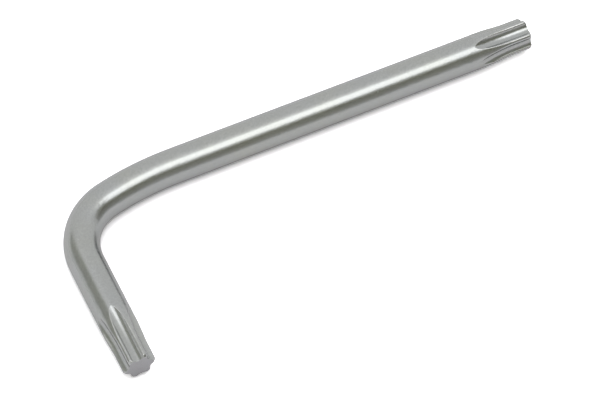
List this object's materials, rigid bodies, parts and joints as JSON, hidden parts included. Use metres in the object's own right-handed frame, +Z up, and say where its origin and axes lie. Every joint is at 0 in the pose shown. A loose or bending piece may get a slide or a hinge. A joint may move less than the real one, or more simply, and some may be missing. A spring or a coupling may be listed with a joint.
{
  "type": "star key",
  "caption": "Small L-shaped hand key for star-socket screws: a round satin-plated steel bar bent to a right angle, with a lobed star tip formed in the end of each arm.",
  "frame": {"origin": "under the middle of the key's outer box, on the surface that it lies on", "axes": "+X along the long arm towards its star tip, -Y along the short arm towards its star tip, +Z up, square to the plane of the arms"},
  "size_m": [0.0514, 0.021, 0.0035],
  "materials": {
    "plated_steel": "satin plating with faint lines along the bar"
  },
  "bodies": {
    "root": {"long_star": "plated_steel", "long_arm": "plated_steel", "lead_curve": "plated_steel", "bend": "plated_steel", "short_arm": "plated_steel", "short_star": "plated_steel"}
  },
  "joints": []
}
